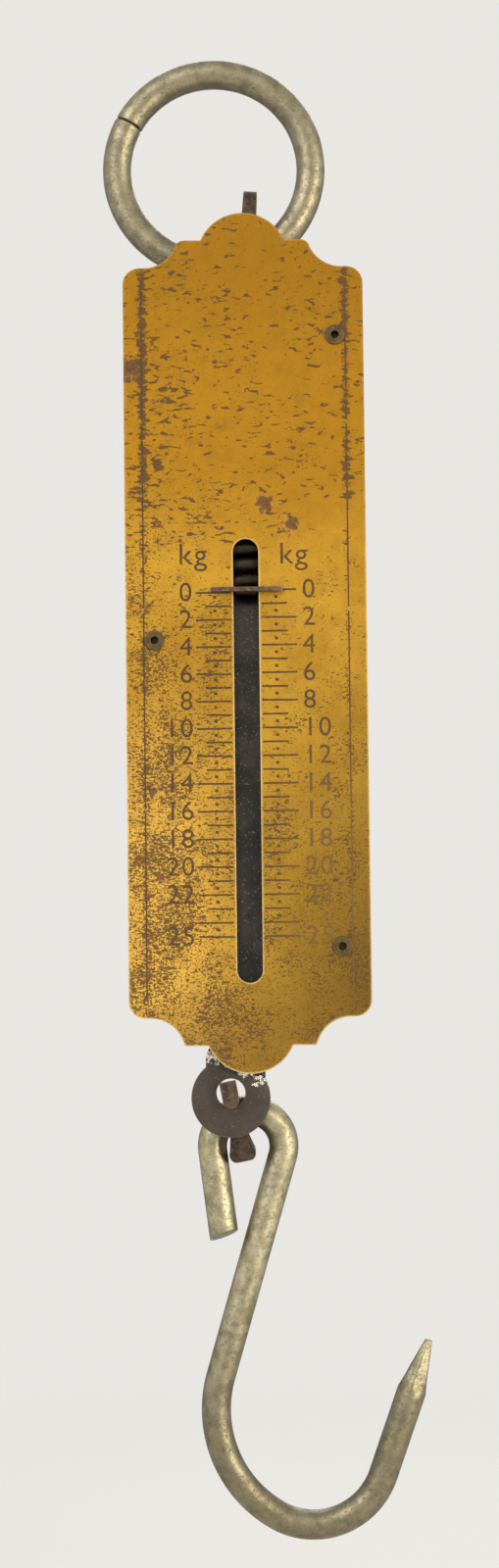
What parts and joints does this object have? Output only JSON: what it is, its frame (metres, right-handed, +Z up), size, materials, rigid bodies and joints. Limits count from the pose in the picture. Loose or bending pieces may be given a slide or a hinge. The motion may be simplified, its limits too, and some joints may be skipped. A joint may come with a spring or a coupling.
{
  "type": "spring balance",
  "caption": "Hanging spring balance: slotted brass scale plate on a sheet case, coil spring, draw bar with pointer, suspension ring and link, lower link and pointed load hook.",
  "frame": {"origin": "the point of the suspension ring that hangs on a nail or a finger: the inside of the top of the ring, in the middle of its wire's depth", "axes": "+Z points up along the balance as it hangs, -Y is the side of the scale, +X is to the right for a person who reads the scale"},
  "size_m": [0.0581, 0.0255, 0.2723],
  "materials": {
    "brass": "aged satin brass with pits and dark scratches",
    "brass_fittings": "dull brass eyelets",
    "japanned_steel": "worn dark lacquer on pressed sheet, rusted at the edges",
    "dark_steel": "oxidised dark steel",
    "spring_steel": "oiled drawn spring wire",
    "pointer_black": "black pointer, worn",
    "worn_nickel": "worn nickel plate over steel, darkened",
    "rusted_steel": "brown rusted strip"
  },
  "bodies": {
    "ring": {"suspension_ring": "worn_nickel"},
    "top_link": {"upper_link": "rusted_steel"},
    "case": {"face_plate": "brass", "back_case": "japanned_steel", "eyelets": "brass_fittings", "anchor_plate": "dark_steel", "guide_plate": "dark_steel", "upper_bar": "dark_steel", "cross_pin": "dark_steel", "spring": "spring_steel"},
    "load_bar": {"draw_bar": "dark_steel", "pointer": "pointer_black", "pointer_rivet": "dark_steel"},
    "bottom_link": {"lower_link": "rusted_steel"},
    "load_hook": {"hook": "worn_nickel"}
  },
  "joints": [
    {"name": "link_swing", "type": "hinge", "parent": "ring", "child": "top_link", "pos_m": [0.00597, 0, -0.03244], "axis": [1, 0, 0], "range_deg": [-18, 18]},
    {"name": "case_swing", "type": "hinge", "parent": "top_link", "child": "case", "pos_m": [0.0055, 0, -0.03807], "axis": [1, 0, 0], "range_deg": [-12, 12]},
    {"name": "load_slide", "type": "slide", "parent": "case", "child": "load_bar", "axis": [0, 0, -1], "range_m": [0, 0.067], "stiffness_N_per_m": 3920, "deforming": ["spring"]},
    {"name": "bottom_link_swing", "type": "hinge", "parent": "load_bar", "child": "bottom_link", "pos_m": [0.0014, -0.0096, -0.18727], "axis": [0, 1, 0], "range_deg": [-30, 30]},
    {"name": "hook_swing", "type": "hinge", "parent": "bottom_link", "child": "load_hook", "pos_m": [0.00437, -0.00325, -0.18976], "axis": [1, 0, 0], "range_deg": [-18, 18]}
  ]
}
